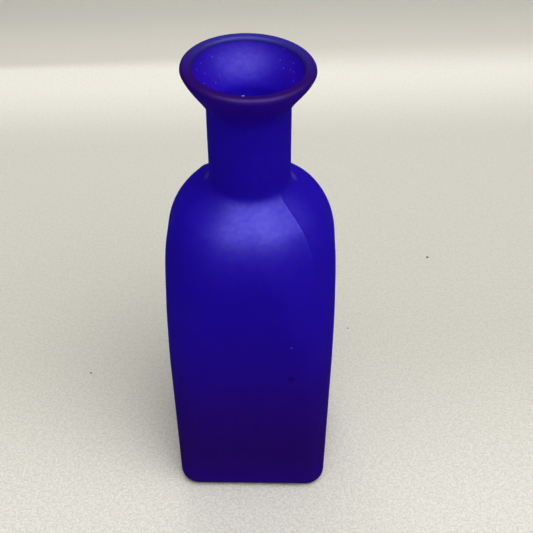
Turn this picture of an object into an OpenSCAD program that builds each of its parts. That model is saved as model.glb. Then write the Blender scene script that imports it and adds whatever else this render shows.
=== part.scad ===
// Square-sided blown glass bottle with a round shoulder, a straight neck and a flared lip.
// Z is the axis of the bottle and the foot stands on z = 0. All sizes are in millimetres.
// Each portion of the vessel is a closed piece that meets the next one face to face.

/* [Foot and base] */
// Width across the flat sides just above the foot
foot_w = 65.4; // [50:0.1:85]
// Radius of the upright corners at the foot
foot_corner_r = 8.4; // [7:0.1:20]
// Thickness of the base
base_t = 6.5; // [5:0.1:12]
// Radius of the heel, where the sides turn under
heel_r = 5; // [1:0.1:6]
// Rise of the hollow under the base, which leaves a flat rim to stand on
push_up = 1.5; // [0.5:0.1:4]
// Diameter of the hollow under the base
push_up_d = 40; // [10:1:44]

/* [Square body] */
// Width across the flat sides at their widest
body_w = 69.3; // [56:0.1:90]
// Height of the widest point above the foot
body_h = 97; // [75:1:130]
// Thickness of the wall
wall_t = 3.2; // [1.5:0.1:5]
// Radius of the upright corners at the top of the flat sides
body_corner_r = 13; // [8:0.1:24]
// Where the corners begin to open out, below the widest point
opening_below = 28; // [2:1:60]
// Where the corners are all but round, above the widest point
opening_above = 43; // [5:1:60]

/* [Shoulder] */
// Height of the shoulder, from the widest point to the root of the neck
shoulder_h = 55.1; // [40:0.1:90]
// Fullness of the shoulder: 2 is a plain dome, more makes it squarer
shoulder_full = 4.9; // [2:0.05:7]
// Width of the flat that is left on each side of the shoulder
shoulder_flat_w = 8; // [1:0.2:14]
// Softness of the hollow curve between shoulder and neck
root_blend = 6; // [2:0.5:14]

/* [Neck] */
// Height from the root of the neck to the lip
neck_h = 33.1; // [20:0.1:80]
// Outer diameter of the neck
neck_d = 31.8; // [24:0.2:40]
// Diameter of the bore through the neck
bore_d = 25; // [14:0.5:36]

/* [Lip] */
// Height of the flared lip, with the hollow curve that leads into it
lip_h = 18.3; // [12:0.1:28]
// Outer diameter of the lip
lip_d = 49.7; // [42:0.1:60]
// Diameter of the mouth at the top of the lip
mouth_d = 40.5; // [30:0.5:50]
// Height of the flare's foot above the neck: the hollow curve runs from the neck to twice as high
flare_foot = 6; // [1:0.1:8]
// Outward bulge of the flare: 0 is a straight cone
lip_bulge = 0.54; // [0:0.02:0.9]
// Radius of the outer edge of the lip
lip_edge_r = 1.8; // [0.3:0.1:2]
// Radius of the inner edge of the lip
mouth_edge_r = 1.6; // [0.5:0.1:2.5]

/* [Hidden] */
glass = [0.12, 0.03, 0.52];

$fn = 96;
corner_steps = 8;
body_rings = 9;
shoulder_rings = 22;
flare_steps = 20;
edge_steps = 6;
least_flat = 0.05;
least_step = 0.5;
flat_fade = 0.6;
blend_limit = 0.9;
cut_past = 1;

foot_r = foot_w / 2;
body_r = body_w / 2;
neck_r = neck_d / 2;
bore_r = bore_d / 2;
lip_r = lip_d / 2;
mouth_r = mouth_d / 2;
heel = min(heel_r, base_t - least_step);
blend = min(root_blend, (body_r - neck_r) * blend_limit);

// Heights of the joints between the portions
neck_root_z = body_h + shoulder_h;
shoulder_top_z = body_h + shoulder_h * pow(1 + blend / (body_r - neck_r), 1 / shoulder_full);
neck_top_z = neck_root_z + neck_h;
top_z = neck_top_z + lip_h;
square_z = body_h - opening_below;
round_z = body_h + opening_above;

function mix(a, b, t) = a + (b - a) * t;
function clamp01(t) = min(1, max(0, t));
function ease(t) = let (c = clamp01(t)) c * c * (3 - 2 * c);
// The larger of a and b, with the crease between them rounded over a width of k
function soft_max(a, b, k) =
    let (h = clamp01(0.5 + 0.5 * (a - b) / k))
    mix(b, a, h) + k * h * (1 - h);

// Half the width across the flats at height z, for a skin that is set in from the outside.
// The skin narrows to the radius narrow_r over a height of rise above the widest point.
function side_half(z) = mix(foot_r, body_r, z / body_h);
function dome_half(z, wide_r, narrow_r, rise) =
    mix(wide_r, narrow_r, pow((z - body_h) / rise, shoulder_full));
function skin_half(z, inset, narrow_r, rise) =
    z < body_h
        ? side_half(z) - inset
        : soft_max(dome_half(z, body_r - inset, narrow_r, rise), narrow_r, blend);

// Half the length of the flat side at height z: the corner radius is what is left of the half width
foot_flat = foot_r - foot_corner_r;
body_flat = side_half(square_z) - body_corner_r;
function flat_half(z, half, inset, narrow_r) =
    let (
        square_flat = mix(foot_flat, body_flat, clamp01(z / square_z)),
        open = ease((z - square_z) / (round_z - square_z)),
        fade = clamp01((half - narrow_r) / (body_r - inset - narrow_r) / flat_fade)
    )
    max(least_flat, mix(square_flat, shoulder_flat_w / 2, open) * fade);

// One level outline of the skin: a square with round corners, counter-clockwise from +X
function ring(z, half, flat) = [
    for (quarter = [0:3])
        for (i = [0:corner_steps])
            let (
                a = 90 * (quarter + i / corner_steps),
                mid = 90 * quarter + 45,
                r = half - flat
            )
            [flat * sign(cos(mid)) + r * cos(a), flat * sign(sin(mid)) + r * sin(a), z]
];

function skin_ring(z, inset, narrow_r, rise) =
    let (half = skin_half(z, inset, narrow_r, rise))
    ring(z, half, flat_half(z, half, inset, narrow_r));

// A glass wall between the heights in levels: up the outside and down the inside, closed on itself
module glass_wall(levels) {
    last = len(levels) - 1;
    outside = [for (i = [0:last]) skin_ring(levels[i], 0, neck_r, shoulder_h)];
    inside = [for (i = [last:-1:0]) skin_ring(levels[i], wall_t, bore_r, shoulder_h - wall_t)];
    rings = concat(outside, inside);
    side = 4 * (corner_steps + 1);
    points = [for (one = rings) for (p = one) p];
    faces = [
        for (i = [0:len(rings) - 1])
            for (j = [0:side - 1])
                let (
                    low = i * side,
                    high = ((i + 1) % len(rings)) * side,
                    next = (j + 1) % side
                )
                each [
                    [low + j, high + j, low + next],
                    [low + next, high + j, high + next]
                ]
    ];
    polyhedron(points, faces);
}

// Heights of n + 1 rings between two joints
function even_levels(low, high, n) = [for (i = [0:n]) mix(low, high, i / n)];

// Upright section through the base with its lower edge rounded, from the middle out to half
module base_section(half) {
    turned_edge = [
        for (i = [0:edge_steps])
            let (a = 90 * i / edge_steps)
            [half - heel + heel * sin(a), heel - heel * cos(a)]
    ];
    polygon(concat([[0, 0]], turned_edge, [[half, base_t], [0, base_t]]));
}

// Slab through the middle of the base, from one flat side to the other
module base_slab(half, flat) {
    for (turn = [0, 180])
        rotate([0, 0, turn])
            rotate([90, 0, 0])
                translate([0, 0, -flat])
                    linear_extrude(2 * flat)
                        base_section(half);
}

module base() {
    half = side_half(base_t);
    flat = flat_half(base_t, half, 0, neck_r);
    cap_r = (pow(push_up_d / 2, 2) + pow(push_up, 2)) / (2 * push_up);
    color(glass)
        difference() {
            union() {
                base_slab(half, flat);
                rotate([0, 0, 90])
                    base_slab(half, flat);
                for (quarter = [0:3])
                    rotate([0, 0, 90 * quarter])
                        translate([flat, flat, 0])
                            rotate_extrude(angle = 90)
                                base_section(half - flat);
            }
            translate([0, 0, push_up - cap_r])
                sphere(cap_r);
        }
}

module body() {
    color(glass)
        glass_wall(even_levels(base_t, body_h, body_rings));
}

module shoulder() {
    color(glass)
        glass_wall(even_levels(body_h, shoulder_top_z, shoulder_rings));
}

module neck() {
    color(glass)
        difference() {
            translate([0, 0, shoulder_top_z])
                cylinder(h = neck_top_z - shoulder_top_z, r = neck_r);
            translate([0, 0, shoulder_top_z - cut_past])
                cylinder(h = neck_top_z - shoulder_top_z + 2 * cut_past, r = bore_r);
        }
}

// Radius of the flare at a share u of its height, which is below 0 under its foot. The cone is
// blended into the tube over all of its drop from the foot to the neck, at low_u.
function cone(low_r, high_r, u) = mix(low_r, high_r, u + lip_bulge * u * (1 - u));
function flare(low_r, high_r, u, low_u) =
    soft_max(cone(low_r, high_r, u), low_r, low_r - cone(low_r, high_r, low_u));

// Radius and height up one side of the flare, which ends edge_r below the top
function flare_side(low_r, high_r, edge_r) =
    let (
        rise = lip_h - flare_foot - edge_r,
        low_u = -flare_foot / rise
    )
    [
        for (i = [0:flare_steps])
            let (u = mix(low_u, 1, i / flare_steps))
            [flare(low_r, high_r, u, low_u), neck_top_z + flare_foot + rise * u]
    ];

module lip() {
    outer_flare = flare_side(neck_r, lip_r, lip_edge_r);
    outer_edge = [
        for (i = [1:edge_steps])
            let (a = 90 * i / edge_steps)
            [lip_r - lip_edge_r * (1 - cos(a)), top_z - lip_edge_r * (1 - sin(a))]
    ];
    inner_edge = [
        for (i = [edge_steps:-1:1])
            let (a = 90 * i / edge_steps)
            [mouth_r + mouth_edge_r * (1 - cos(a)), top_z - mouth_edge_r * (1 - sin(a))]
    ];
    inner_flare = flare_side(bore_r, mouth_r, mouth_edge_r);
    funnel = [for (i = [flare_steps:-1:0]) inner_flare[i]];
    color(glass)
        rotate_extrude()
            polygon(concat(outer_flare, outer_edge, inner_edge, funnel));
}

base();
body();
shoulder();
neck();
lip();
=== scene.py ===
"""Satin cobalt glass bottle: square body, domed shoulder, straight neck and flared lip."""

from math import cos, pi, radians, sin, sqrt

import bpy
from mathutils import Matrix, Vector


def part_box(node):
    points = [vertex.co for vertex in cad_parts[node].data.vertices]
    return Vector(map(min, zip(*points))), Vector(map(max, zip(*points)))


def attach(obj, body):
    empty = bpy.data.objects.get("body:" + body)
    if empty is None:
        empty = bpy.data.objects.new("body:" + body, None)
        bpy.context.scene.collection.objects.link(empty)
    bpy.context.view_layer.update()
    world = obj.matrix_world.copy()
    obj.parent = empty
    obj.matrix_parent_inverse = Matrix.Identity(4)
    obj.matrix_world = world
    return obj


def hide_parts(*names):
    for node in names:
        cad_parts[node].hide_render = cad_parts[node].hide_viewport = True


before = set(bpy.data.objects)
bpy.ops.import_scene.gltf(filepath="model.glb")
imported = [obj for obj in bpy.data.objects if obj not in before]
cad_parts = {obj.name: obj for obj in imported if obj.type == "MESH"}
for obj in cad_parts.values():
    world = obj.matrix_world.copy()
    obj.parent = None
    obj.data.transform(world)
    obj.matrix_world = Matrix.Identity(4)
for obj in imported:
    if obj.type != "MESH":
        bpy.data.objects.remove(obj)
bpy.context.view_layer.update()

MM = 0.001

# ---------------------------------------------------------------------------------------------
# Sizes of the glass, in metres. The frame gives the outside; the rest repeats the construction.

base_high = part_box("base")[1]
body_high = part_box("body")[1]
neck_low, neck_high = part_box("neck")
lip_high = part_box("lip")[1]

BASE_Z = base_high.z
WIDE_Z = body_high.z
NECK_Z = neck_high.z
TOP_Z = lip_high.z
BODY_R = body_high.x
NECK_R = neck_high.x
LIP_R = lip_high.x
FOOT_R = BODY_R - (BODY_R - base_high.x) * WIDE_Z / (WIDE_Z - BASE_Z)

FOOT_CORNER_R = 8.4 * MM
BODY_CORNER_R = 13 * MM
SQUARE_Z = 69 * MM
ROUND_Z = 140 * MM
SHOULDER_H = 55.1 * MM
SHOULDER_FULL = 4.9
SHOULDER_FLAT = 4 * MM
FLAT_FADE = 0.6
ROOT_BLEND = 6 * MM

WALL = 3.2 * MM
BORE_R = 12.5 * MM
MOUTH_R = 20.25 * MM
HEEL_R = 5 * MM
PUSH_UP = 1.5 * MM
PUSH_UP_R = 20 * MM
FLOOR_FILLET = 5 * MM
FLARE_FOOT = 6 * MM
LIP_BULGE = 0.54
LIP_EDGE_R = 1.8 * MM
MOUTH_EDGE_R = 1.6 * MM
FLARE_Z = NECK_Z + FLARE_FOOT

# Rings of the mesh along each stretch of the meridian, from under the base to the inner floor
HOLLOW_RINGS = 10
FOOT_RIM_RINGS = 5
HEEL_RINGS = 10
BODY_RINGS = 30
SHOULDER_RINGS = 62
NECK_RINGS = 12
FLARE_RINGS = 30
LIP_EDGE_RINGS = 9
LIP_TOP_RINGS = 3
BORE_RINGS = 10
INNER_SHOULDER_RINGS = 34
INNER_BODY_RINGS = 16
FILLET_RINGS = 7
FLOOR_RINGS = 8


def mix(a, b, t):
    return a + (b - a) * t


def clamp(t):
    return min(1.0, max(0.0, t))


def ease(t):
    t = clamp(t)
    return t * t * (3 - 2 * t)


def soft_max(a, b, k):
    """The larger of a and b, with the crease between them rounded over a width of k."""
    h = clamp(0.5 + 0.5 * (a - b) / k)
    return mix(b, a, h) + k * h * (1 - h)


def spread(low, high, count):
    """count values from just past low up to high."""
    return [mix(low, high, (i + 1) / count) for i in range(count)]


# ---------------------------------------------------------------------------------------------
# The meridian: one station for each level outline, from under the base, up the outside, over the
# lip and down the inside. A station is (half width, half flat length, height, 1 outside or 0 inside).


def skin_half(z, inset, narrow_r, rise):
    """Half the width across the flats at height z."""
    if z < WIDE_Z:
        return mix(FOOT_R, BODY_R, z / WIDE_Z) - inset
    dome = mix(BODY_R - inset, narrow_r, ((z - WIDE_Z) / rise) ** SHOULDER_FULL)
    return soft_max(dome, narrow_r, ROOT_BLEND)


def skin_flat(z, half, inset, narrow_r):
    """Half the length of the flat side at height z."""
    body_flat = skin_half(SQUARE_Z, 0, NECK_R, SHOULDER_H) - BODY_CORNER_R
    square = mix(FOOT_R - FOOT_CORNER_R, body_flat, clamp(z / SQUARE_Z))
    opened = ease((z - SQUARE_Z) / (ROUND_Z - SQUARE_Z))
    fade = clamp((half - narrow_r) / (BODY_R - inset - narrow_r) / FLAT_FADE)
    return mix(square, SHOULDER_FLAT, opened) * fade


def outside_at(z):
    half = skin_half(z, 0, NECK_R, SHOULDER_H)
    return half, skin_flat(z, half, 0, NECK_R), z, 1


def inside_at(z):
    half = skin_half(z, WALL, BORE_R, SHOULDER_H - WALL)
    return half, skin_flat(z, half, WALL, BORE_R), z, 0


def cone(low_r, high_r, u):
    """Radius of the flare at a share u of its height, before it is blended into the tube."""
    return mix(low_r, high_r, u + LIP_BULGE * u * (1 - u))


def flare_side(low_r, high_r, edge_r):
    """Radius and height up one side of the flare, from the neck to the edge of the rim."""
    rise = TOP_Z - FLARE_Z - edge_r
    low_u = -FLARE_FOOT / rise
    softness = low_r - cone(low_r, high_r, low_u)
    side = []
    for u in [low_u, *spread(low_u, 1, FLARE_RINGS)]:
        side.append((soft_max(cone(low_r, high_r, u), low_r, softness), FLARE_Z + rise * u))
    return side


def underside():
    """Push-up hollow, flat rim and turned heel."""
    cap_r = (PUSH_UP_R ** 2 + PUSH_UP ** 2) / (2 * PUSH_UP)
    cap_z = PUSH_UP - cap_r
    rows = [(0, 0, PUSH_UP, 1)]
    for r in spread(0, PUSH_UP_R, HOLLOW_RINGS):
        rows.append((r, 0, cap_z + sqrt(cap_r ** 2 - r ** 2), 1))
    heel_half, heel_flat = outside_at(HEEL_R)[:2]
    rim_half = heel_half - HEEL_R
    for u in spread(0, 1, FOOT_RIM_RINGS):
        rows.append((mix(PUSH_UP_R, rim_half, u), heel_flat * u, 0, 1))
    for a in spread(0, pi / 2, HEEL_RINGS):
        rows.append((rim_half + HEEL_R * sin(a), heel_flat, HEEL_R * (1 - cos(a)), 1))
    return rows


def lip_rows():
    """Outside of the flare, rounded rim and funnel, from the neck's top back to it."""
    rows = [(r, 0, z, 1) for r, z in flare_side(NECK_R, LIP_R, LIP_EDGE_R)]
    for a in spread(0, pi / 2, LIP_EDGE_RINGS):
        rows.append((LIP_R - LIP_EDGE_R * (1 - cos(a)), 0, TOP_Z - LIP_EDGE_R * (1 - sin(a)), 1))
    rim_out, rim_in = LIP_R - LIP_EDGE_R, MOUTH_R + MOUTH_EDGE_R
    rows += [(r, 0, TOP_Z, 1) for r in spread(rim_out, rim_in, LIP_TOP_RINGS)]
    for a in spread(pi / 2, 0, LIP_EDGE_RINGS):
        half = MOUTH_R + MOUTH_EDGE_R * (1 - cos(a))
        rows.append((half, 0, TOP_Z - MOUTH_EDGE_R * (1 - sin(a)), 0))
    funnel = flare_side(BORE_R, MOUTH_R, MOUTH_EDGE_R)[:-1]
    rows += [(r, 0, z, 0) for r, z in reversed(funnel)]
    return rows


def inner_floor():
    """Fillet at the foot of the wall, then the floor in to the middle."""
    low = BASE_Z + FLOOR_FILLET
    half, flat = inside_at(low)[:2]
    rows = []
    for a in spread(0, pi / 2, FILLET_RINGS):
        turned = FLOOR_FILLET * (1 - cos(a))
        rows.append((half - turned, flat, low - FLOOR_FILLET * sin(a), 0))
    reached = half - FLOOR_FILLET
    for u in spread(0, 1, FLOOR_RINGS):
        rows.append((reached * (1 - u), flat * (1 - u), BASE_Z, 0))
    return rows


def meridian():
    rows = underside()
    floor_z = BASE_Z + FLOOR_FILLET
    rows += [outside_at(z) for z in spread(HEEL_R, WIDE_Z, BODY_RINGS)]
    rows += [outside_at(z) for z in spread(WIDE_Z, neck_low.z, SHOULDER_RINGS)]
    rows += [(NECK_R, 0, z, 1) for z in spread(neck_low.z, NECK_Z, NECK_RINGS)[:-1]]
    rows += lip_rows()
    rows += [(BORE_R, 0, z, 0) for z in spread(NECK_Z, neck_low.z, BORE_RINGS)]
    rows += [inside_at(z) for z in spread(neck_low.z, WIDE_Z, INNER_SHOULDER_RINGS)]
    rows += [inside_at(z) for z in spread(WIDE_Z, floor_z, INNER_BODY_RINGS)]
    rows += inner_floor()
    return rows


# ---------------------------------------------------------------------------------------------
# Node trees written as expressions


class Wire:
    """A socket, or a plain number, in an expression that adds the Math nodes it needs."""

    def __init__(self, tree, socket):
        self.tree = tree
        self.socket = socket

    def math(self, operation, *others):
        values = {i: value for i, value in enumerate((self, *others))}
        return self.tree.add("ShaderNodeMath", {"operation": operation}, values)

    def __add__(self, other):
        return self.math("ADD", other)

    __radd__ = __add__

    def __mul__(self, other):
        return self.math("MULTIPLY", other)

    __rmul__ = __mul__

    def __sub__(self, other):
        return self.math("SUBTRACT", other)

    def __rsub__(self, other):
        return self * -1 + other

    def __truediv__(self, other):
        return self.math("DIVIDE", other)

    def __pow__(self, other):
        return self.math("POWER", other)

    def __mod__(self, other):
        return self.math("FLOORED_MODULO", other)

    def ramp(self, low, high):
        """0 at low and 1 at high, eased at both ends."""
        settings = {"interpolation_type": "SMOOTHSTEP"}
        return self.tree.add("ShaderNodeMapRange", settings, {"Value": self, 1: low, 2: high})


class Tree:
    """A node tree whose nodes are all made by add()."""

    def __init__(self, nodes):
        self.nodes = nodes

    def add(self, kind, settings=None, values=None, output=0):
        """A node of that kind: settings are set first, then its sockets; gives one output."""
        node = self.nodes.nodes.new(kind)
        for name, value in (settings or {}).items():
            setattr(node, name, value)
        for name, value in (values or {}).items():
            socket = self.pick(node, name)
            if isinstance(value, Wire):
                self.nodes.links.new(value.socket, socket)
            else:
                socket.default_value = value
        return Wire(self, node.outputs[output]) if len(node.outputs) else node

    def pick(self, node, name):
        """The input of that number, or the one of that name that the node's settings show."""
        if isinstance(name, int):
            return node.inputs[name]
        return next(socket for socket in node.inputs if socket.name == name and socket.enabled)

    def vector(self, x, y, z):
        return self.add("ShaderNodeCombineXYZ", None, {0: x, 1: y, 2: z})

    def blend(self, factor, first, second):
        """Goes from the first colour to the second as factor goes from 0 to 1."""
        ends = {0: factor}
        for socket, colour in ((6, first), (7, second)):
            ends[socket] = colour if isinstance(colour, Wire) else (*colour, 1)
        return self.add("ShaderNodeMix", {"data_type": "RGBA"}, ends, 2)

    def noise(self, place, scale, detail):
        return self.add("ShaderNodeTexNoise", None, {
            "Vector": place, "Scale": scale, "Detail": detail,
        })

    def parts(self, vector):
        """The three numbers of a vector."""
        first = self.add("ShaderNodeSeparateXYZ", None, {0: vector})
        return [Wire(self, socket) for socket in first.socket.node.outputs]


# ---------------------------------------------------------------------------------------------
# The vessel: a tree lofts the meridian into glass

# Stretches over which the seam and the shape of the lip fade in, and the ripple fades out
SEAM_FADE = 20 * MM
ROOT_FADE = 3 * MM
LIP_FADE = 2 * MM
POLE_R = 6 * MM
WELD = 1e-6

LOFT_SIZES = {
    "Steps from corner to flat": ("NodeSocketInt", 28),
    "Crowding at the corner": ("NodeSocketFloat", 1.6),
    "Seam height": ("NodeSocketFloat", 0.15 * MM),
    "Seam width": ("NodeSocketFloat", 0.45 * MM),
    "Seam crease": ("NodeSocketFloat", 0.5 * MM),
    "Seam crease reach": ("NodeSocketFloat", 7 * MM),
    "Seam bottom": ("NodeSocketFloat", 106 * MM),
    "Ripple": ("NodeSocketFloat", 0.14 * MM),
    "Ripple scale": ("NodeSocketFloat", 32.0),
    "Ripple seed": ("NodeSocketFloat", 4.0),
    "Rim tilt": ("NodeSocketFloat", 0.0267),
    "Lip narrowing": ("NodeSocketFloat", 0.0457),
    "Lip set back": ("NodeSocketFloat", 0.65 * MM),
}


def loft_tree(material):
    """Turns a meridian, whose points carry half, flat, height and outside, into a vessel."""
    group = bpy.data.node_groups.new("loft_vessel", "GeometryNodeTree")
    face = group.interface
    face.new_socket("Geometry", in_out="INPUT", socket_type="NodeSocketGeometry")
    face.new_socket("Geometry", in_out="OUTPUT", socket_type="NodeSocketGeometry")
    for name, (kind, size) in LOFT_SIZES.items():
        face.new_socket(name, in_out="INPUT", socket_type=kind).default_value = size
    tree = Tree(group)
    given = group.nodes.new("NodeGroupInput")
    size = {name: Wire(tree, given.outputs[name]) for name in LOFT_SIZES}
    stations = Wire(tree, given.outputs["Geometry"])

    steps = size["Steps from corner to flat"]
    around = steps * 8
    rows = tree.add("GeometryNodeAttributeDomainSize", None, {0: stations}, "Point Count")
    sheet = tree.add("GeometryNodeMeshGrid", None, {
        "Size X": 1.0, "Size Y": 1.0, "Vertices X": around + 1, "Vertices Y": rows,
    })
    u, v, _ = tree.parts(tree.add("GeometryNodeInputPosition"))
    column = ((u + 0.5) * around).math("ROUND")
    row = ((v + 0.5) * (rows - 1)).math("ROUND")

    def station(name):
        held = tree.add("GeometryNodeInputNamedAttribute", {"data_type": "FLOAT"}, {"Name": name})
        values = {"Geometry": stations, "Value": held, "Index": row}
        return tree.add("GeometryNodeSampleIndex", None, values)

    half, flat, height, outside = map(station, ("half", "flat", "height", "outside"))

    quarter = (column / (steps * 2)).math("FLOOR")
    side = (column - quarter * steps * 2) / steps - 1
    corner_r = half - flat
    corner_arc = corner_r * (pi / 4)
    away = (flat + corner_arc) * side.math("ABSOLUTE") ** size["Crowding at the corner"]
    on_arc = away.math("MINIMUM", corner_arc)
    turn = side.math("SIGN")
    middle = quarter * (pi / 2) + pi / 4
    angle = middle + turn * on_arc / corner_r
    along = turn * (away - on_arc)
    reach = flat * sqrt(2)
    nx, ny = angle.math("COSINE"), angle.math("SINE")

    # The mould's parting line runs over two opposite corners of the shoulder
    seam_bottom = size["Seam bottom"]
    on_seam = (quarter % 2) * outside * height.ramp(seam_bottom, seam_bottom + SEAM_FADE)
    on_seam = on_seam * (1 - height.ramp(neck_low.z - ROOT_FADE, neck_low.z + ROOT_FADE))
    ridge = size["Seam height"] * (away / size["Seam width"]).math("MULTIPLY", -1).math("EXPONENT")
    crease_fall = (away / size["Seam crease reach"]).math("MINIMUM", 1.0)
    crease = size["Seam crease"] * (1 - crease_fall) ** 2
    # Blown glass is never quite true: a slow ripple takes the surface in, never out
    spot = tree.vector(nx * half, ny * half, height)
    slow = tree.add("ShaderNodeTexNoise", {"noise_dimensions": "4D"}, {
        "Vector": spot, "W": size["Ripple seed"],
        "Scale": size["Ripple scale"], "Detail": 1.0,
    })
    dent = size["Ripple"] * slow * half.ramp(0, POLE_R)
    off = on_seam * (ridge + crease) - dent
    radius = corner_r + off
    x = reach * middle.math("COSINE") + radius * nx - along * ny
    y = reach * middle.math("SINE") + radius * ny + along * nx
    # The lip is neither level nor quite round, and sits a little towards the back
    at_lip = height.ramp(FLARE_Z - LIP_FADE, TOP_Z)
    y = y - at_lip * (y * size["Lip narrowing"] - size["Lip set back"])
    drop = size["Rim tilt"] * (x + LIP_R) * height.ramp(FLARE_Z, TOP_Z)
    # The stations are found by the place in the sheet, so the marks go on before it moves
    for name, value in (("inside", 1 - outside), ("level", height)):
        sheet = tree.add("GeometryNodeStoreNamedAttribute", {"data_type": "FLOAT"}, {
            "Geometry": sheet, "Name": name, "Value": value,
        })
    placed = tree.add("GeometryNodeSetPosition", None, {
        "Geometry": sheet, "Position": tree.vector(x, y, height - drop),
    })
    closed = tree.add("GeometryNodeMergeByDistance", None, {"Geometry": placed, "Distance": WELD})
    smooth = tree.add("GeometryNodeSetShadeSmooth", None, {"Geometry": closed})
    real = tree.add("GeometryNodeRealizeInstances", None, {"Geometry": smooth})
    done = tree.add("GeometryNodeSetMaterial", None, {"Geometry": real, "Material": material})
    tree.add("NodeGroupOutput", None, {"Geometry": done})
    return group


def make_vessel(material):
    rows = meridian()
    mesh = bpy.data.meshes.new("meridian")
    mesh.from_pydata([(0, 0, row[2]) for row in rows], [], [])
    for i, name in enumerate(("half", "flat", "height", "outside")):
        mesh.attributes.new(name, "FLOAT", "POINT").data.foreach_set(
            "value", [float(row[i]) for row in rows]
        )
    holder = bpy.data.objects.new("meridian", mesh)
    bpy.context.collection.objects.link(holder)
    loft = holder.modifiers.new("loft", "NODES")
    loft.node_group = loft_tree(material)
    for item in loft.node_group.interface.items_tree:
        if item.in_out == "INPUT" and item.name in LOFT_SIZES:
            loft[item.identifier] = LOFT_SIZES[item.name][1]
    evaluated = holder.evaluated_get(bpy.context.evaluated_depsgraph_get())
    glass = bpy.data.meshes.new_from_object(evaluated)
    holder.modifiers.remove(loft)
    glass.name = "bottle_glass"
    bpy.data.objects.remove(holder)
    vessel = bpy.data.objects.new("bottle_glass", glass)
    bpy.context.collection.objects.link(vessel)
    return vessel


# ---------------------------------------------------------------------------------------------
# Materials


def new_material(name):
    material = bpy.data.materials.new(name)
    material.use_nodes = True
    material.node_tree.nodes.clear()
    return material, Tree(material.node_tree)


COBALT = (0.008, 0.0, 0.28)
# The next three tones paint shade on the lower body: darker towards the bottom, a little paler near
# the heel, darkest and redder along the foot. The first of them also tones the etch pits.
COBALT_SHADE_AND_PITS = (0.012, 0.0, 0.107)
COBALT_HEEL = (0.013, 0.0, 0.158)
COBALT_FOOT_SHADE = (0.017, 0.002, 0.072)
COBALT_FLARE = (0.013, 0.0, 0.20)
COBALT_RIM = (0.015, 0.001, 0.088)
# Painted reflection of the backdrop on the back of the rim
COBALT_RIM_BACK_REFLECTION = (0.019, 0.017, 0.185)
# Painted light: the inside is lighter than the outside and lightest down the throat, standing in for
# light coming through the glass
COBALT_MOUTH_LIT = (0.015, 0.0, 0.33)
COBALT_THROAT_LIT = (0.013, 0.0, 0.50)
DUST = (0.35, 0.36, 0.62)

# Heights between which one tone of the glass goes over into the next
LOW_SHADE_TO_COBALT = (22 * MM, 125 * MM)
HEEL_TO_LOW_SHADE = (0, 24 * MM)
FOOT_TO_HEEL = (0.5 * MM, 6 * MM)
NECK_TO_FLARE = (NECK_Z - 2 * MM, TOP_Z - 6 * MM)
THROAT_TO_MOUTH = (NECK_Z - 4 * MM, NECK_Z + 9 * MM)
FLARE_TO_RIM = (TOP_Z - 2.2 * MM, TOP_Z - 1.0 * MM)
# Painted reflection: the rim pales from a little in front of the middle to its back, as if it
# reflected the lit backdrop
RIM_FRONT_TO_BACK = (-11 * MM, LIP_R)

GLASS_IOR = 1.5
# A trace of metal lets the glass's own colour into its sheen
METAL_TRACE = 0.01
SHEEN = 0.035
RIM_SHEEN_LOSS = 0.55
MOUTH_SHEEN_GAIN = 0.15
SATIN_ROUGHNESS = 0.48
ETCH_DEPTH = 0.065 * MM
ETCH_LEAST = 0.54
CLOUD_SCALE = 90.0
CLOUD_SHARE = 0.5
PIT_SCALE = 640.0
PIT_SHARE = 0.37
PIT_TONE = 0.07
MOUTH_PIT_GAIN = 0.6
DUST_SCALE = 800.0
DUST_R = 0.3
DUST_SHARE = 0.16
DUST_COVER = 0.16
DUST_RISE = (NECK_Z, TOP_Z - 8 * MM)
DUST_SIDES = (5 * MM, 15 * MM)

# Single marks in the glass, and two painted highlights: place, radius and colour
MARKS_AND_PAINTED_HIGHLIGHTS = (
    ((17.1 * MM, -34.1 * MM, 75.3 * MM), 1.3 * MM, (0.006, 0.0, 0.07)),
    ((16.9 * MM, -34.4 * MM, 94.0 * MM), 0.6 * MM, (0.03, 0.02, 0.45)),
    ((7.5 * MM, -15.8 * MM, 155.1 * MM), 0.5 * MM, (0.20, 0.18, 0.65)),
    ((-1.1 * MM, -19.6 * MM, 202.7 * MM), 0.6 * MM, (0.22, 0.20, 0.50)),
    # Painted highlights: two soft pale patches at the sides of the neck's root, where it catches the
    # light
    ((-17.3 * MM, 1.8 * MM, 154.4 * MM), 3.0 * MM, (0.034, 0.019, 0.27)),
    ((17.8 * MM, 2.2 * MM, 154.0 * MM), 3.2 * MM, (0.034, 0.019, 0.30)),
)


def near(tree, place, centre, radius):
    """1 within the radius of a point, fading out just past it."""
    away = tree.add("ShaderNodeVectorMath", {"operation": "DISTANCE"}, {0: place, 1: centre}, 1)
    return 1 - away.ramp(radius * 0.6, radius * 1.2)


def specks(tree, place, scale, radius, share):
    """Scattered round dots: a share of the cells of that scale holds one."""
    values = {"Vector": place, "Scale": scale}
    away = tree.add("ShaderNodeTexVoronoi", None, values, "Distance")
    lot = tree.parts(tree.add("ShaderNodeTexVoronoi", None, values, "Color"))[0]
    return (1 - away.ramp(radius * 0.5, radius)) * lot.math("LESS_THAN", share)


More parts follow.
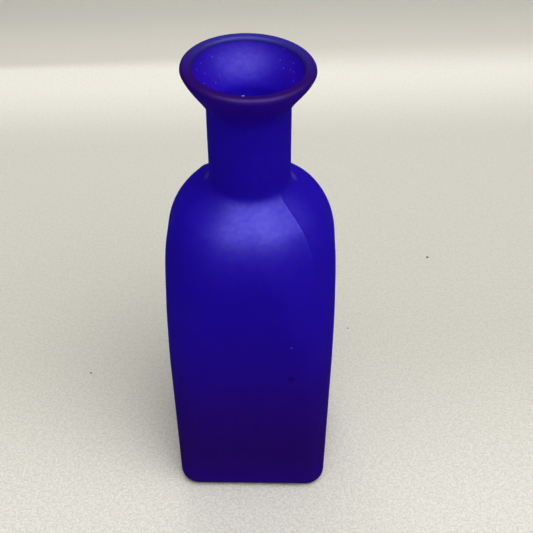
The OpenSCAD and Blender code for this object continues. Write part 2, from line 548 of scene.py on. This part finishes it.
def satin_cobalt_glass():
    material, tree = new_material("satin_cobalt_glass")
    place = tree.add("ShaderNodeTexCoord", None, None, "Object")
    inside, level = [
        tree.add("ShaderNodeAttribute", {"attribute_name": name}, None, "Fac")
        for name in ("inside", "level")
    ]

    # Painted shade: the body darkens towards the bottom, pales a little near the heel and is darkest
    # along the foot
    tone = tree.blend(level.ramp(*LOW_SHADE_TO_COBALT), COBALT_SHADE_AND_PITS, COBALT)
    tone = tree.blend(1 - level.ramp(*HEEL_TO_LOW_SHADE), tone, COBALT_HEEL)
    tone = tree.blend(1 - level.ramp(*FOOT_TO_HEEL), tone, COBALT_FOOT_SHADE)
    tone = tree.blend(level.ramp(*NECK_TO_FLARE), tone, COBALT_FLARE)
    # Painted light inside the neck and mouth, lightest down the throat where the bore would be shaded
    lit_bore = tree.blend(level.ramp(*THROAT_TO_MOUTH), COBALT_THROAT_LIT, COBALT_MOUTH_LIT)
    tone = tree.blend(inside, tone, lit_bore)
    rim = level.ramp(*FLARE_TO_RIM)
    x, y, _ = tree.parts(place)
    # Painted reflection, paler towards the back of the rim
    rim_back_reflection = y.ramp(*RIM_FRONT_TO_BACK)
    tone = tree.blend(rim, tone, tree.blend(rim_back_reflection, COBALT_RIM, COBALT_RIM_BACK_REFLECTION))
    # Marks in the glass, and the painted highlights at the neck's root
    for centre, radius, colour in MARKS_AND_PAINTED_HIGHLIGHTS:
        tone = tree.blend(near(tree, place, centre, radius), tone, colour)
    # Dust lies on both sides of the mouth
    dust = specks(tree, place, DUST_SCALE, DUST_R, DUST_SHARE) * inside * (1 - rim)
    dust = dust * level.ramp(*DUST_RISE) * x.math("ABSOLUTE").ramp(*DUST_SIDES)
    tone = tree.blend(dust * DUST_COVER, tone, DUST)

    # The acid bath etches the skin unevenly, which breaks up its sheen
    cloud = tree.noise(place, CLOUD_SCALE, 2.0)
    pits = tree.noise(place, PIT_SCALE, 2.0)
    etch = ETCH_LEAST + CLOUD_SHARE * cloud + PIT_SHARE * pits.ramp(0.3, 0.7)
    tone = tree.blend(pits.ramp(0.35, 0.65) * PIT_TONE, tone, COBALT_SHADE_AND_PITS)
    bump = tree.add("ShaderNodeBump", None, {
        "Strength": 1.0, "Distance": ETCH_DEPTH, "Height": pits * (1 + inside * MOUTH_PIT_GAIN),
    })
    sheen = SHEEN * (1 - rim * RIM_SHEEN_LOSS) * (1 + inside * MOUTH_SHEEN_GAIN)
    glass = tree.add("ShaderNodeBsdfPrincipled", None, {
        "Base Color": tone,
        "Metallic": METAL_TRACE,
        "Roughness": SATIN_ROUGHNESS,
        "IOR": GLASS_IOR,
        "Specular IOR Level": 0.0,
        "Coat Weight": etch * sheen,
        "Coat Roughness": SATIN_ROUGHNESS,
        "Coat IOR": GLASS_IOR,
        "Normal": bump,
    })
    tree.add("ShaderNodeOutputMaterial", None, {"Surface": glass})
    return material


# Painted highlight: a soft band of lighter paper behind the bottle, where a backdrop's bend would
# catch the light
BAND_NEAR = 238 * MM
BAND_PEAK = 322 * MM
BAND_EDGE = 344 * MM
BAND_SLANT = 0.07
# Softness of the band's far edge on the left, how much more it is on the right, and from where
BAND_SOFT = 12 * MM
BAND_SOFTER = 36 * MM
BAND_SIDES = (-160 * MM, 120 * MM)
NEAR_TO_PAPER = (-60 * MM, 70 * MM)
BACK_TO_FAR = (BAND_EDGE, BAND_EDGE + 100 * MM)
PAPER = (0.510, 0.498, 0.442)
# Painted light: the paper is lighter near the front and in the band
PAPER_NEAR_LIT = (0.655, 0.635, 0.578)
PAPER_BAND_HIGHLIGHT = (0.670, 0.650, 0.590)
# Painted shade: beyond the band the paper darkens far back
PAPER_BACK = (0.515, 0.493, 0.440)
PAPER_FAR_SHADE = (0.396, 0.388, 0.350)
FLECK = (0.30, 0.29, 0.26)
FLECK_SCALE = 1000.0
FLECK_COVER = 0.27
MOTTLE_SCALE = 420.0
MOTTLE_COVER = 0.10
# The grain shows fully in front and goes down to this share by the band
FAR_GRAIN = 0.45
GRAIN_FADE = (-60 * MM, 330 * MM)
CRUMB = (0.10, 0.075, 0.06)

# Crumbs on the paper: place and radius
CRUMBS = (
    ((95.8 * MM, 129.0 * MM, 0), 0.9 * MM),
    ((-84.1 * MM, 36.9 * MM, 0), 0.6 * MM),
    ((48.2 * MM, 71.1 * MM, 0), 0.5 * MM),
)


def pale_paper():
    """Pale paper painted with light and shade: lighter near the front, a painted highlight in a soft
    band behind the bottle, and painted shade falling off beyond it.
    """
    material, tree = new_material("pale_paper")
    place = tree.add("ShaderNodeTexCoord", None, None, "Object")
    x, y, _ = tree.parts(place)
    line = y - x * BAND_SLANT
    # The band's far edge is crisp on the left and soft on the right
    softness = BAND_SOFT + x.ramp(*BAND_SIDES) * BAND_SOFTER
    beyond = ((line - BAND_EDGE) / softness + 0.5).ramp(0, 1)
    # Painted light near the front and in the band
    tone = tree.blend(line.ramp(*NEAR_TO_PAPER), PAPER_NEAR_LIT, PAPER)
    tone = tree.blend(line.ramp(BAND_NEAR, BAND_PEAK), tone, PAPER_BAND_HIGHLIGHT)
    # Painted shade far beyond the band
    back = tree.blend(line.ramp(*BACK_TO_FAR), PAPER_BACK, PAPER_FAR_SHADE)
    tone = tree.blend(beyond, tone, back)
    fleck = tree.noise(place, FLECK_SCALE, 1.0).ramp(0.38, 0.62)
    mottle = tree.noise(place, MOTTLE_SCALE, 2.0).ramp(0.38, 0.62)
    close = 1 - line.ramp(*GRAIN_FADE)
    grain = fleck * FLECK_COVER + mottle * MOTTLE_COVER
    tone = tree.blend(grain * (FAR_GRAIN + (1 - FAR_GRAIN) * close), tone, FLECK)
    for centre, radius in CRUMBS:
        tone = tree.blend(near(tree, place, centre, radius), tone, CRUMB)
    paper = tree.add("ShaderNodeBsdfPrincipled", None, {
        "Base Color": tone, "Roughness": 0.9, "Specular IOR Level": 0.0,
    })
    tree.add("ShaderNodeOutputMaterial", None, {"Surface": paper})
    return material


# ---------------------------------------------------------------------------------------------
# Stage, lights and camera

SWEEP_HALF_W = 1.6
SWEEP_FRONT = -1.2
SWEEP_BACK = 0.55
SWEEP_BEND_R = 0.25
SWEEP_TOP = 1.3
SWEEP_STEPS = 24


def make_sweep():
    """A floor that bends up into a backdrop."""
    line = [(SWEEP_FRONT, 0.0)]
    for i in range(SWEEP_STEPS + 1):
        a = pi / 2 * i / SWEEP_STEPS
        line.append((SWEEP_BACK + SWEEP_BEND_R * sin(a), SWEEP_BEND_R * (1 - cos(a))))
    line.append((SWEEP_BACK + SWEEP_BEND_R, SWEEP_TOP))
    verts = [(x, y, z) for y, z in line for x in (-SWEEP_HALF_W, SWEEP_HALF_W)]
    faces = [(2 * i, 2 * i + 1, 2 * i + 3, 2 * i + 2) for i in range(len(line) - 1)]
    mesh = bpy.data.meshes.new("sweep")
    mesh.from_pydata(verts, [], faces)
    mesh.polygons.foreach_set("use_smooth", [True] * len(faces))
    mesh.materials.append(pale_paper())
    sweep = bpy.data.objects.new("sweep", mesh)
    bpy.context.collection.objects.link(sweep)


def soft_lamp(name, place, aim, width, height, power):
    lamp = bpy.data.lights.new(name, "AREA")
    lamp.shape = "ELLIPSE"
    lamp.size = width
    lamp.size_y = height
    lamp.energy = power
    holder = bpy.data.objects.new(name, lamp)
    holder.location = place
    holder.rotation_euler = (Vector(aim) - Vector(place)).to_track_quat("-Z", "Y").to_euler()
    bpy.context.collection.objects.link(holder)
    return holder


def light_world(strength, colour):
    world = bpy.data.worlds.new("soft_room")
    world.use_nodes = True
    world.node_tree.nodes.clear()
    tree = Tree(world.node_tree)
    glow = tree.add("ShaderNodeBackground", None, {"Color": (*colour, 1), "Strength": strength})
    tree.add("ShaderNodeOutputWorld", None, {"Surface": glow})
    bpy.context.scene.world = world


FRAME_PIXELS = 533
FOCAL_PIXELS = 1068
SENSOR = 36.0
CAMERA_HEADING = radians(1.114)
CAMERA_PITCH = radians(41.749)
CAMERA_ROLL = radians(-0.197)
CAMERA_SIDE = 6.31 * MM
CAMERA_AWAY = 331.8 * MM
CAMERA_UP = 402.9 * MM


def make_camera():
    camera = bpy.data.cameras.new("camera")
    camera.sensor_width = SENSOR
    camera.lens = FOCAL_PIXELS / FRAME_PIXELS * SENSOR
    camera.clip_start = 0.01
    holder = bpy.data.objects.new("camera", camera)
    turn = Matrix.Rotation(CAMERA_HEADING, 4, "Z")
    place = turn @ Matrix.Translation((CAMERA_SIDE, -CAMERA_AWAY, CAMERA_UP))
    look = Matrix.Rotation(pi / 2 - CAMERA_PITCH, 4, "X") @ Matrix.Rotation(CAMERA_ROLL, 4, "Z")
    holder.matrix_world = place @ look
    bpy.context.collection.objects.link(holder)
    bpy.context.scene.camera = holder


ROOM_LIGHT = 0.58
# Each lamp's place, the point it faces, the width and height of its face, and its power
KEY = ((0.43, -0.59, 1.81), (0, 0, 0.1), 1.44, 1.44, 31)
GLINT = ((0.19, -0.43, 1.08), (0, 0, 0.15), 1.9, 1.1, 480)
FILL = ((-0.12, 0.80, 0.70), (0, 0, 0.05), 0.5, 0.5, 5)

# ---------------------------------------------------------------------------------------------

make_camera()
make_sweep()
light_world(ROOM_LIGHT, (1.0, 1.0, 1.0))
soft_lamp("key", *KEY)
# The glint lights sheens alone, and the fill lights everything but sheens
glint = soft_lamp("glint", *GLINT)
glint.visible_diffuse = False
fill = soft_lamp("fill", *FILL)
fill.visible_glossy = False

bottle = make_vessel(satin_cobalt_glass())
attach(bottle, "root")
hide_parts("base", "body", "shoulder", "neck", "lip")

bpy.context.scene.view_settings.view_transform = "Standard"
